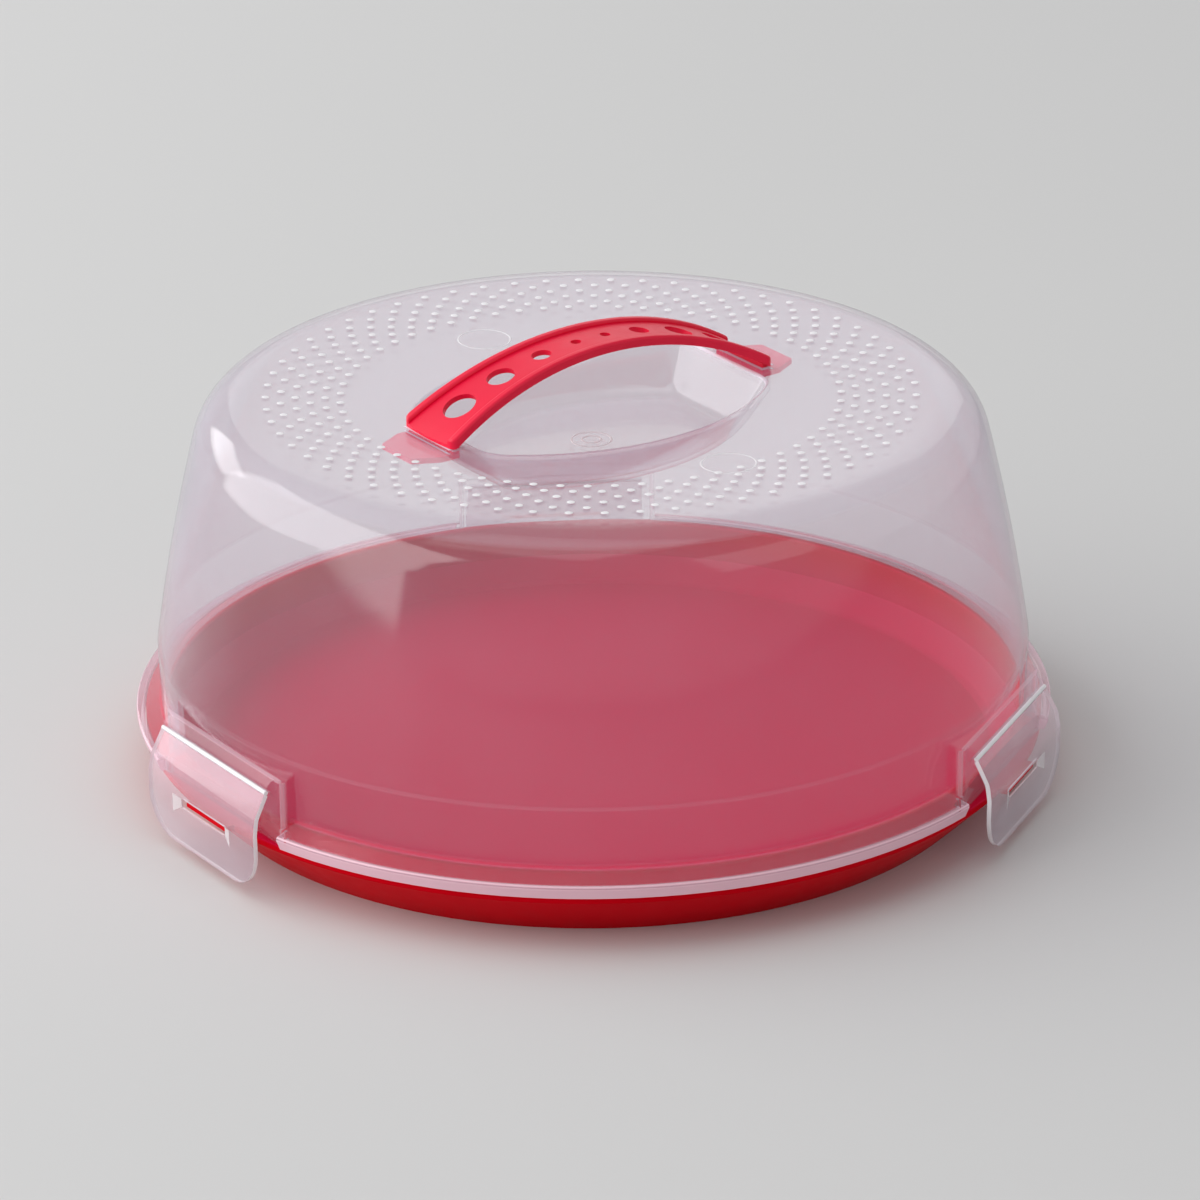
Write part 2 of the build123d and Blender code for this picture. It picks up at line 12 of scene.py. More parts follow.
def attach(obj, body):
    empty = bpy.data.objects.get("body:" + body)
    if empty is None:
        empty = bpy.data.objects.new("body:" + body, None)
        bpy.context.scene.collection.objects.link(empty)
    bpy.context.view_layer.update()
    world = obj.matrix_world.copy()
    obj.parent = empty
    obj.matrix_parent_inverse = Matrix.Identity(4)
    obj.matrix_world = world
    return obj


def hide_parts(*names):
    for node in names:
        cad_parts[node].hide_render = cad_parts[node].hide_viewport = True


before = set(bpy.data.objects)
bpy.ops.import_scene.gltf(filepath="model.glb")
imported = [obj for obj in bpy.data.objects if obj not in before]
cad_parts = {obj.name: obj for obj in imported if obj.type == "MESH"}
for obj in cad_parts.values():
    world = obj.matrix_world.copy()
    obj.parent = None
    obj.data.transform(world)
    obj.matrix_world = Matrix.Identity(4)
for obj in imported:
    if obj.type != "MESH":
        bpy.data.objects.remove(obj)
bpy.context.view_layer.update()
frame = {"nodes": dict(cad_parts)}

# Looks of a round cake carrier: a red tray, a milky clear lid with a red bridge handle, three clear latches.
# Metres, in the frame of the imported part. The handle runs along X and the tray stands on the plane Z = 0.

LOG = logging.getLogger("cake_carrier")
MM = 0.001
FULL_TURN = 2 * math.pi
CUT_MERGE = 0.001 * MM
NOISE_MIDDLE = (0.35, 0.65)

Number = Union[float, "Value"]
Colour = tuple[float, float, float]
Paint = Union[Colour, bpy.types.NodeSocket]
Mask = Callable[["Graph"], Number]


class LatchSide(Enum):
    """The three latches, with the angle from +X that each one faces, in degrees."""

    LEFT = 180.0
    RIGHT = 300.0
    REAR = 60.0

    @property
    def body(self) -> str:
        """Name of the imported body, which is also the name of the latch's node."""
        return self.name.lower() + "_latch"

    @property
    def hinge_node(self) -> str:
        """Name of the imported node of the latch's hinge."""
        return self.name.lower() + "_hinge"


# Modelling


def clear_selection() -> None:
    """Leave object mode with nothing selected."""
    if bpy.context.object and bpy.context.object.mode != "OBJECT":
        bpy.ops.object.mode_set(mode="OBJECT")
    bpy.ops.object.select_all(action="DESELECT")


def make_active(piece: bpy.types.Object) -> None:
    """Select one piece alone and make it active.

    Args:
        piece: The object to work on.
    """
    clear_selection()
    piece.select_set(True)
    bpy.context.view_layer.objects.active = piece


def named_new(name: str) -> bpy.types.Object:
    """Name the primitive that was just added.

    Args:
        name: The piece's name.

    Returns:
        The new object.
    """
    piece = bpy.context.object
    piece.name = name
    piece.data.name = name
    return piece


def finish_faces(piece: bpy.types.Object, slot: int, wanted: Callable[[bmesh.types.BMFace], bool]) -> None:
    """Give the faces that pass a test the finish of one material slot.

    Args:
        piece: The mesh object.
        slot: Number of the material slot.
        wanted: Test of one face.
    """
    make_active(piece)
    bpy.ops.object.mode_set(mode="EDIT")
    bpy.ops.mesh.select_mode(type="FACE")
    bpy.ops.mesh.select_all(action="DESELECT")
    mesh = bmesh.from_edit_mesh(piece.data)
    for face in mesh.faces:
        if wanted(face):
            face.select_set(True)
    bmesh.update_edit_mesh(piece.data)
    piece.active_material_index = slot
    bpy.ops.object.material_slot_assign()
    bpy.ops.object.mode_set(mode="OBJECT")


def smooth(piece: bpy.types.Object, angle: float = 32.0) -> None:
    """Shade a piece smooth, with edges sharper than an angle left crisp.

    Args:
        piece: The mesh object.
        angle: The limit, in degrees.
    """
    make_active(piece)
    bpy.ops.object.shade_smooth_by_angle(angle=math.radians(angle))


def apply_modifier(piece: bpy.types.Object, kind: str, **settings: Any) -> None:
    """Add one modifier to a piece and apply it.

    Args:
        piece: The mesh object.
        kind: The modifier's type.
        **settings: Values for the modifier's own fields.
    """
    make_active(piece)
    modifier = piece.modifiers.new(kind.title(), kind)
    for key, value in settings.items():
        setattr(modifier, key, value)
    bpy.ops.object.modifier_apply(modifier=modifier.name)


def refined_copy(node: str, name: str, merge: float = 0.004 * MM) -> bpy.types.Object:
    """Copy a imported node's mesh into a piece of its own with its triangles joined.

    Args:
        node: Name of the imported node.
        name: Name of the new piece.
        merge: Distance within which points become one.

    Returns:
        The new object, at the origin.
    """
    source = frame["nodes"][node]
    piece = bpy.data.objects.new(name, source.data.copy())
    bpy.context.scene.collection.objects.link(piece)
    make_active(piece)
    if piece.data.has_custom_normals:
        bpy.ops.mesh.customdata_custom_splitnormals_clear()
    bpy.ops.object.mode_set(mode="EDIT")
    bpy.ops.mesh.select_all(action="SELECT")
    bpy.ops.mesh.remove_doubles(threshold=merge)
    bpy.ops.object.mode_set(mode="OBJECT")
    return piece


def soften_edges(piece: bpy.types.Object, width: float, segments: int = 2, angle: float = 30.0) -> None:
    """Round the sharp edges of a piece and give the rounds its second finish.

    Args:
        piece: The mesh object, with two material slots.
        width: Width of the bevel.
        segments: Faces across it.
        angle: Edges sharper than this are rounded, in degrees.
    """
    apply_modifier(
        piece,
        "BEVEL",
        width=width,
        segments=segments,
        limit_method="ANGLE",
        angle_limit=math.radians(angle),
        use_clamp_overlap=True,
        material=1,
    )


def joined(pieces: Sequence[bpy.types.Object], name: str) -> bpy.types.Object:
    """Join meshes into one piece.

    Args:
        pieces: The objects to join.
        name: Name of the result.

    Returns:
        The joined object.
    """
    clear_selection()
    for piece in pieces:
        piece.select_set(True)
    bpy.context.view_layer.objects.active = pieces[0]
    bpy.ops.object.join()
    return named_new(name)


def copies(master: bpy.types.Object, places: Iterable[Matrix], name: str) -> bpy.types.Object:
    """Copy a small shape to many places and join the copies, each with its own mesh.

    Args:
        master: The shape, modelled at the origin. It is used up.
        places: Where each copy goes.
        name: Name of the joined piece.

    Returns:
        The joined object.
    """
    made = []
    for place in places:
        mesh = master.data.copy()
        mesh.transform(place)
        copy = bpy.data.objects.new(name, mesh)
        bpy.context.scene.collection.objects.link(copy)
        made.append(copy)
    bpy.data.objects.remove(master)
    return joined(made, name)


def dress(piece: bpy.types.Object, material: bpy.types.Material) -> None:
    """Give a piece one material all over.

    Args:
        piece: The object to dress.
        material: Its finish.
    """
    if not piece.material_slots:
        piece.data.materials.append(material)
    for slot in piece.material_slots:
        slot.material = material


# Shader maths


@dataclass(frozen=True)
class Value:
    """A number that varies over a surface, which takes part in Python arithmetic."""

    graph: "Graph"
    socket: bpy.types.NodeSocket

    def _with(self, operation: str, first: Number, second: Number) -> "Value":
        """Add one Math node and return its result."""
        node = self.graph.node("ShaderNodeMath", {"operation": operation}, {0: first, 1: second})
        return Value(self.graph, node.outputs[0])

    def __add__(self, other: Number) -> "Value":
        """This plus another value."""
        return self._with("ADD", self, other)

    def __radd__(self, other: Number) -> "Value":
        """Another value plus this."""
        return self._with("ADD", other, self)

    def __sub__(self, other: Number) -> "Value":
        """This minus another value."""
        return self._with("SUBTRACT", self, other)

    def __rsub__(self, other: Number) -> "Value":
        """Another value minus this."""
        return self._with("SUBTRACT", other, self)

    def __mul__(self, other: Number) -> "Value":
        """This times another value."""
        return self._with("MULTIPLY", self, other)

    def __rmul__(self, other: Number) -> "Value":
        """Another value times this."""
        return self._with("MULTIPLY", other, self)

    def __truediv__(self, other: Number) -> "Value":
        """This divided by another value."""
        return self._with("DIVIDE", self, other)

    def __rtruediv__(self, other: Number) -> "Value":
        """Another value divided by this."""
        return self._with("DIVIDE", other, self)

    def __pow__(self, other: Number) -> "Value":
        """This to a power."""
        return self._with("POWER", self, other)

    def size(self) -> "Value":
        """This without its sign."""
        return self._with("ABSOLUTE", self, 0.0)

    def root(self) -> "Value":
        """Square root."""
        return self._with("SQRT", self, 0.0)

    def sine(self) -> "Value":
        """Sine of this, in radians."""
        return self._with("SINE", self, 0.0)

    def cosine(self) -> "Value":
        """Cosine of this, in radians."""
        return self._with("COSINE", self, 0.0)

    def angle_over(self, other: Number) -> "Value":
        """Angle whose tangent is this over another value, in radians."""
        return self._with("ARCTAN2", self, other)

    def beyond(self, start: float, fade: float) -> "Value":
        """0 up to a start and 1 past it, with a short ramp that ends at the start."""
        return ((self - (start - fade)) / fade).at_least(0.0).at_most(1.0)

    def within(self, centre: float, reach: float, fade: float) -> "Value":
        """1 within a reach of a centre, falling to 0 over a short ramp past it."""
        return (((self - centre).size() * -1.0 + (reach + fade)) / fade).at_least(0.0).at_most(1.0)

    def at_least(self, other: Number) -> "Value":
        """The larger of this and another value."""
        return self._with("MAXIMUM", self, other)

    def at_most(self, other: Number) -> "Value":
        """The smaller of this and another value."""
        return self._with("MINIMUM", self, other)


class Graph:
    """The node tree of one material or world, with its nodes added by one method."""

    def __init__(self, tree: bpy.types.NodeTree) -> None:
        """Empty a tree and hold it.

        Args:
            tree: The node tree to fill.
        """
        self.tree = tree
        tree.nodes.clear()

    def node(self, kind: str, settings: dict[str, Any], inputs: dict[Any, Any]) -> bpy.types.Node:
        """Add one node.

        Args:
            kind: The node's type.
            settings: Its own fields, set first.
            inputs: A constant, a Value or a socket for each input, by name or number.

        Returns:
            The new node.
        """
        node = self.tree.nodes.new(kind)
        for key, value in settings.items():
            setattr(node, key, value)
        for key, value in inputs.items():
            target = node.inputs[key]
            if isinstance(value, Value):
                self.tree.links.new(value.socket, target)
            elif isinstance(value, bpy.types.NodeSocket):
                self.tree.links.new(value, target)
            else:
                target.default_value = value
        return node

    def place(self) -> bpy.types.NodeSocket:
        """The surface point in object coordinates, in metres."""
        return self.node("ShaderNodeTexCoord", {}, {}).outputs["Object"]

    def axes_mm(self) -> tuple[Value, Value, Value]:
        """The surface point's three object coordinates, in millimetres."""
        outputs = self.node("ShaderNodeSeparateXYZ", {}, {0: self.place()}).outputs
        return tuple(Value(self, outputs[axis]) * 1000.0 for axis in range(3))

    def noise(self, size: float, detail: float) -> Value:
        """Soft noise from 0 to 1.

        Args:
            size: Size of its blotches, in metres.
            detail: How many finer layers it has.

        Returns:
            The noise.
        """
        node = self.node(
            "ShaderNodeTexNoise",
            {},
            {"Vector": self.place(), "Scale": 1 / size, "Detail": detail, "Roughness": 0.55},
        )
        return Value(self, node.outputs[0])

    def ranged(self, value: Number, source: tuple[float, float], target: tuple[float, float]) -> Value:
        """Map a value from one range to another, held at its ends.

        Args:
            value: What to map.
            source: Its low and high ends.
            target: What they become.

        Returns:
            The mapped value.
        """
        node = self.node(
            "ShaderNodeMapRange",
            {"clamp": True},
            {0: value, 1: source[0], 2: source[1], 3: target[0], 4: target[1]},
        )
        return Value(self, node.outputs[0])

    def blend_colours(self, share: Number, first: Paint, second: Paint) -> bpy.types.NodeSocket:
        """A colour between two colours.

        Args:
            share: 0 for the first colour, 1 for the second.
            first: The colour at 0.
            second: The colour at 1.

        Returns:
            The colour socket.
        """
        ends = [(*end, 1.0) if isinstance(end, tuple) else end for end in (first, second)]
        node = self.node("ShaderNodeMix", {"data_type": "RGBA"}, {0: share, 6: ends[0], 7: ends[1]})
        return node.outputs[2]

    def facing(self) -> Value:
        """How far a surface is turned away, from 0 where it faces the viewer to 1 at its outline."""
        return Value(self, self.node("ShaderNodeLayerWeight", {}, {"Blend": 0.5}).outputs["Facing"])

    def bump(self, height: Value) -> bpy.types.NodeSocket:
        """A normal from a height pattern, in metres."""
        return self.node("ShaderNodeBump", {}, {"Height": height, "Distance": 1.0}).outputs[0]

    def mixed(self, share: Number, first: bpy.types.Node, second: bpy.types.Node) -> bpy.types.Node:
        """Mix two shaders.

        Args:
            share: 0 for the first shader, 1 for the second.
            first: The shader at 0.
            second: The shader at 1.

        Returns:
            The Mix Shader node.
        """
        return self.node("ShaderNodeMixShader", {}, {0: share, 1: first.outputs[0], 2: second.outputs[0]})

    def finish(self, shader: bpy.types.Node, kind: str = "ShaderNodeOutputMaterial") -> None:
        """Send a shader to the output."""
        self.node(kind, {}, {0: shader.outputs[0]})


def new_graph(name: str) -> tuple[bpy.types.Material, Graph]:
    """Make an empty material and its graph.

    Args:
        name: The material's name.

    Returns:
        The material and the graph that fills it.
    """
    material = bpy.data.materials.new(name)
    material.use_nodes = True
    return material, Graph(material.node_tree)


# Finishes


def nowhere(graph: Graph) -> Number:
    """A mask that is 0 everywhere."""
    return 0.0


@dataclass(frozen=True)
class HeightRamp:
    """A mask that runs from one value to another between two heights, in millimetres."""

    heights: tuple[float, float]
    values: tuple[float, float] = (0.0, 1.0)

    def __call__(self, graph: Graph) -> Number:
        """The mask on one material's graph."""
        return graph.ranged(graph.axes_mm()[2], self.heights, self.values)


@dataclass(frozen=True)
class GlossPlastic:
    """Opaque moulded plastic: a gloss skin with faint sink marks and scuffs, its colour slightly uneven, and
    painted lighter where a mask says, which is painted light.
    """

    name: str
    colour: Colour
    deep_colour: Colour
    painted_light_colour: Colour
    painted_light_where: Mask
    specular: float
    roughness: tuple[float, float] = (0.3, 0.35)
    cloud_size: float = 22 * MM
    scuff_size: float = 6 * MM
    wave_size: float = 14 * MM
    wave_height: float = 0.02 * MM
    grain_size: float = 0.5 * MM
    grain_height: float = 0.003 * MM

    def material(self) -> bpy.types.Material:
        """Make the material.

        Returns:
            The material, with its node tree filled.
        """
        material, graph = new_graph(self.name)
        cloud = graph.noise(self.cloud_size, detail=2.0)
        scuff = graph.noise(self.scuff_size, detail=4.0)
        wave = graph.noise(self.wave_size, detail=1.0)
        grain = graph.noise(self.grain_size, detail=2.0)
        base = graph.blend_colours(graph.ranged(cloud, NOISE_MIDDLE, (0, 1)), self.deep_colour, self.colour)
        shader = graph.node(
            "ShaderNodeBsdfPrincipled",
            {},
            {
                # Painted light: the base colour is painted lighter where the mask says.
                "Base Color": graph.blend_colours(self.painted_light_where(graph), base, self.painted_light_colour),
                "Roughness": graph.ranged(scuff, NOISE_MIDDLE, self.roughness),
                "Specular IOR Level": self.specular,
                "Normal": graph.bump(wave * self.wave_height + grain * self.grain_height),
            },
        )
        graph.finish(shader)
        return material


@dataclass(frozen=True)
class MilkyPlastic:
    """Milky clear moulded plastic: clear face on, whiter where it is seen edge on, with a gloss skin.

    Where it stands near the red tray its milk is painted a warm pink, painted light that stands for the
    tray's red light, and a line of it may be painted red as a painted highlight.
    """

    name: str
    haze: float
    edge_haze: float
    tint: Colour = (0.98, 0.975, 0.992)
    body: Colour = (0.91, 0.86, 1.0)
    body_shade: float = 0.95
    body_roughness: tuple[float, float] = (0.4, 0.55)
    body_specular: float = 0.3
    gloss: float = 0.04
    edge_gloss: float = 0.9
    gloss_roughness: float = 0.085
    turn_power: float = 5.0
    cloud_size: float = 26 * MM
    cloud_middle: tuple[float, float] = (0.3, 0.7)
    cloud_span: tuple[float, float] = (0.9, 1.1)
    shade_offset: float = 0.5
    wave_size: float = 16 * MM
    wave_height: float = 0.02 * MM
    grain_size: float = 0.7 * MM
    grain_height: float = 0.00125 * MM
    edges: Mask = nowhere
    painted_glow: Colour = (1.0, 0.69, 0.79)
    painted_glow_where: Mask = nowhere
    line: Colour = (1.0, 0.11, 0.2)
    painted_line_haze: float = 0.36
    painted_line_where: Mask = nowhere

    def material(self) -> bpy.types.Material:
        """Make the material.

        Returns:
            The material, with its node tree filled.
        """
        material, graph = new_graph(self.name)
        cloud = graph.ranged(graph.noise(self.cloud_size, detail=3.0), self.cloud_middle, self.cloud_span)
        wave = graph.noise(self.wave_size, detail=1.0)
        grain = graph.noise(self.grain_size, detail=2.0)
        normal = graph.bump(wave * self.wave_height + grain * self.grain_height)
        turned = graph.facing() ** self.turn_power
        # Painted highlight: the milk is painted as a red line where the line's mask says.
        line = self.painted_line_where(graph)
        haze = (self.haze + (self.edge_haze - self.haze) * turned) * cloud
        # The edges mask paints the milk whiter, partly as painted highlights.
        haze = haze.at_least(self.edges(graph)).at_least(line * self.painted_line_haze).at_most(1.0)
        gloss = self.gloss + (self.edge_gloss - self.gloss) * turned
        shade = tuple(self.body_shade * channel for channel in self.body)
        body = graph.blend_colours(cloud - self.shade_offset, shade, self.body)
        # Painted light: the milk's colour is painted warm pink near the tray.
        painted_glow_body = graph.blend_colours(self.painted_glow_where(graph), body, self.painted_glow)
        clear = graph.node("ShaderNodeBsdfTransparent", {}, {"Color": (*self.tint, 1.0)})
        milk = graph.node(
            "ShaderNodeBsdfPrincipled",
            {},
            {
                "Base Color": graph.blend_colours(line, painted_glow_body, self.line),
                "Roughness": graph.ranged(cloud, self.cloud_span, self.body_roughness),
                "Specular IOR Level": self.body_specular,
                "Normal": normal,
            },
        )
        skin = graph.node("ShaderNodeBsdfGlossy", {}, {"Roughness": self.gloss_roughness, "Normal": normal})
        graph.finish(graph.mixed(gloss.at_most(1.0), graph.mixed(haze, clear, milk), skin))
        return material


@dataclass(frozen=True)
class TrayInside:
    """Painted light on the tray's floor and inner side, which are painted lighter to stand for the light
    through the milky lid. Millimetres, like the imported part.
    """

    foot_radius: float = 144.5
    side_run: float = 18.7
    side_height: float = 18.8
    middle: float = 1.6
    fade: float = 0.8
    painted_light_to: float = 14.0
    rim_from: float = 24.0
    rim_share: float = 0.4

    def __call__(self, graph: Graph) -> Number:
        """Where the tray is painted lighter: 1 on the tray's floor, less at its rim, and 0 on its outer
        side.

        Args:
            graph: The graph of the tray's material.

        Returns:
            The mask of the painted light.
        """
        x, y, z = graph.axes_mm()
        beside = (x * x + y * y).root() - z * (self.side_run / self.side_height)
        inside = 1.0 - beside.beyond(self.foot_radius - self.middle, self.fade)
        return inside * graph.ranged(z, (self.painted_light_to, self.rim_from), (1.0, self.rim_share))


@dataclass(frozen=True)
class LedgeCorner:
    """The inner corner where the lid's wall meets its ledge, where a red highlight is painted. Millimetres.
    """

    radius: float = 157.6
    height: float = 29.6
    reach: float = 0.35
    fade: float = 0.9

    def __call__(self, graph: Graph) -> Number:
        """1 along the corner and 0 away from it.

        Args:
            graph: The graph of the lid's material.

        Returns:
            The mask.
        """
        x, y, z = graph.axes_mm()
        radius = (x * x + y * y).root()
        near = radius.within(self.radius, self.reach, self.fade)
        return near * z.within(self.height, self.reach, self.fade)


@dataclass(frozen=True)
class EdgeLine:
    """A white line, mostly a painted highlight along an edge: half its width and the ramp past it in
    millimetres, and its haze from 0 to 1.
    """

    reach: float
    fade: float
    haze: float

    def along(self, value: Value, centre: float) -> Value:
        """The line where a value comes near a centre."""
        return value.within(centre, self.reach, self.fade) * self.haze


@dataclass(frozen=True)
class LidEdges:
    """Where the lid is painted whiter: its milk seen through its thickness, and painted highlights, white
    lines along its rounded edges and corners. Millimetres.
    """

    rim_radius: float = 166.6
    lip_inner: float = 163.4
    lip_bottom: float = 21.5
    lip_top: float = 26.5
    lip: EdgeLine = EdgeLine(4.0, 0.4, 0.62)
    lip_foot: EdgeLine = EdgeLine(0.25, 0.3, 0.65)
    lip_corner: EdgeLine = EdgeLine(0.2, 0.2, 0.68)
    lip_corner_depth: float = 1.0
    ledge_top: float = 29.4
    crease_radius: float = 158.0
    crease_height: float = 51.0
    crease: EdgeLine = EdgeLine(0.15, 0.3, 0.13)
    crease_depth: float = 2.0
    crease_fade: float = 1.0
    latch_count: int = 3
    pocket_distance: float = 158.7
    pocket_half_width: float = 38.3
    pocket_top: float = 45.6
    upright: EdgeLine = EdgeLine(0.5, 0.4, 0.3)
    upright_inset: float = 0.8
    upright_depth: tuple[float, float] = (1.2, 1.3)
    front: EdgeLine = EdgeLine(0.6, 0.4, 0.3)
    front_depth: tuple[float, float] = (0.3, 0.6)
    ledge_cut_half_width: float = 39.5
    ledge_end: EdgeLine = EdgeLine(0.25, 0.2, 0.3)
    ledge_end_rise: float = 1.0
    bar_half_width: float = 34.1
    bar_bottom: float = 38.6
    bar_haze: float = 0.1
    bar_side: float = 0.5
    bar_gap: float = 0.3
    bar_fade: float = 0.2
    well_reach: float = 75.0
    well_rim_depth: float = 0.6
    well_rim: EdgeLine = EdgeLine(0.4, 0.15, 0.6)
    dish_height: float = 139.2
    dish_radius: float = 2964.0
    slot_distance: float = 70.4
    slot_half_width: float = 14.6
    slot: EdgeLine = EdgeLine(0.35, 0.3, 0.9)
    top_height: float = 137.0
    top_haze: float = 0.1
    fade: float = 0.4

    def __call__(self, graph: Graph) -> Number:
        """Whiteness of every edge, from 0 to 1, much of it painted highlight.

        Args:
            graph: The graph of the lid's material.

        Returns:
            The largest of the edges' values.
        """
        x, y, z = graph.axes_mm()
        radius = (x * x + y * y).root()
        return (
            self.round_edges(radius, z)
            .at_least(self.pocket_edges(x, y, z, radius))
            .at_least(self.top_edges(x, y, z, radius))
        )

    def round_edges(self, radius: Value, z: Value) -> Value:
        """The lip, its foot and upper corner, and the crease round the side; the foot and the corner are
        painted highlight lines.

        Args:
            radius: Distance from the axis.
            z: Height.

        Returns:
            The largest of their haze values.
        """
        on_lip = radius.beyond(self.lip_inner, self.fade)
        on_rim = radius.beyond(self.rim_radius - self.lip_corner_depth, self.fade)
        on_side = radius.beyond(self.crease_radius - self.crease_depth, self.crease_fade)
        lip = self.lip.along(z, self.lip_bottom) * on_lip
        foot = self.lip_foot.along(z, self.lip_bottom) * on_lip
        corner = self.lip_corner.along(z, self.lip_top - self.lip_corner.reach) * on_rim
        crease = self.crease.along(z, self.crease_height) * on_side
        return lip.at_least(corner).at_least(foot).at_least(crease)

    def pocket_edges(self, x: Value, y: Value, z: Value, radius: Value) -> Value:
        """The corners of the latch pockets, the ledge's cut ends and the bars that the latches hang from;
        the corners and the cut ends are painted highlight lines.

        Args:
            x: Place along the handle.
            y: Place across it.
            z: Height.
            radius: Distance from the axis.

        Returns:
            The largest of their haze values.
        """
        folded = y.angle_over(x) * self.latch_count - math.pi
        off = folded.sine().angle_over(folded.cosine()) / self.latch_count
        out = radius * off.cosine()
        across = (radius * off.sine()).size()
        upright_back, upright_reach = self.upright_depth
        front_back, front_reach = self.front_depth
        upright = (
            self.upright.along(across, self.pocket_half_width - self.upright_inset)
            * out.within(self.pocket_distance - upright_back, upright_reach, self.fade)
            * (1.0 - z.beyond(self.pocket_top, self.fade))
        )
        front = self.front.along(z, self.pocket_top) * out.within(
            self.pocket_distance - front_back, front_reach, self.fade
        )
        ends = (
            self.ledge_end.along(across, self.ledge_cut_half_width)
            * out.beyond(self.pocket_distance, self.fade)
            * (1.0 - z.beyond(self.ledge_top + self.ledge_end_rise, self.fade))
        )
        bar = (
            out.beyond(self.pocket_distance + self.bar_gap, self.bar_fade)
            * (1.0 - across.beyond(self.bar_half_width + self.bar_side, self.fade))
            * z.beyond(self.bar_bottom, self.fade)
            * self.bar_haze
        )
        return upright.at_least(front).at_least(ends).at_least(bar)

    def top_edges(self, x: Value, y: Value, z: Value, radius: Value) -> Value:
        """The rim of the finger well, the outer edges of the handle's slots and the hazier flat top; the
        well's rim and the slots' edges are painted highlight lines.

        Args:
            x: Place along the handle.
            y: Place across it.
            z: Height.
            radius: Distance from the axis.

        Returns:
            The largest of their haze values.
        """
        below = z * -1.0 + radius * radius / (2 * self.dish_radius) + self.dish_height
        near_well = 1.0 - radius.beyond(self.well_reach, self.fade)
        rim = self.well_rim.along(below, self.well_rim_depth) * near_well
        on_top = z.beyond(self.top_height, self.fade)
        slot = (
            self.slot.along(x.size(), self.slot_distance)
            * (1.0 - y.size().beyond(self.slot_half_width, self.fade))
            * on_top
        )
        return rim.at_least(slot).at_least(on_top * self.top_haze)


@dataclass(frozen=True)
class FloorPaint:
    """Pale matt floor of the studio, painted a little darker far out, painted shade against the light of the
    lamps that stand near it there.
    """

    name: str = "studio_floor"
    colour: Colour = (0.68, 0.675, 0.67)
    shade: float = 0.985
    painted_shade_far_colour: Colour = (0.5, 0.497, 0.494)
    fade_mm: tuple[float, float] = (1400.0, 3200.0)
    cloud_size: float = 0.4
    roughness: float = 0.75
    specular: float = 0.15

    def material(self) -> bpy.types.Material:
        """Make the material.

        Returns:
            The material, with its node tree filled.
        """
        material, graph = new_graph(self.name)
        x, y, _ = graph.axes_mm()
        # Painted shade: the floor is painted darker far out, near the lamps.
        far = graph.ranged((x * x + y * y).root(), self.fade_mm, (0.0, 1.0))
        cloud = graph.noise(self.cloud_size, detail=2.0)
        shade = tuple(self.shade * channel for channel in self.colour)
        near_colour = graph.blend_colours(cloud, shade, self.colour)
        shader = graph.node(
            "ShaderNodeBsdfPrincipled",
            {},
            {
                "Base Color": graph.blend_colours(far, near_colour, self.painted_shade_far_colour),
                "Roughness": self.roughness,
                "Specular IOR Level": self.specular,
            },
        )
        graph.finish(shader)
        return material


# Sub-assemblies


@dataclass
class Tray:
    """The red tray with its foot ring, sloped side, rim and catches."""

    finish: GlossPlastic = GlossPlastic(
        "tray_red",
        colour=(0.6, 0.001, 0.008),
        deep_colour=(0.57, 0.0008, 0.007),
        # Painted light: the tray's floor and inner side are painted lighter.
        painted_light_colour=(0.63, 0.009, 0.07),
        painted_light_where=TrayInside(),
        specular=0.01,
    )
    pieces: list[bpy.types.Object] = field(default_factory=list)

    def build(self) -> None:
        """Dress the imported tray."""
        tray = frame["nodes"]["tray"]
        dress(tray, self.finish.material())
        self.pieces.append(tray)


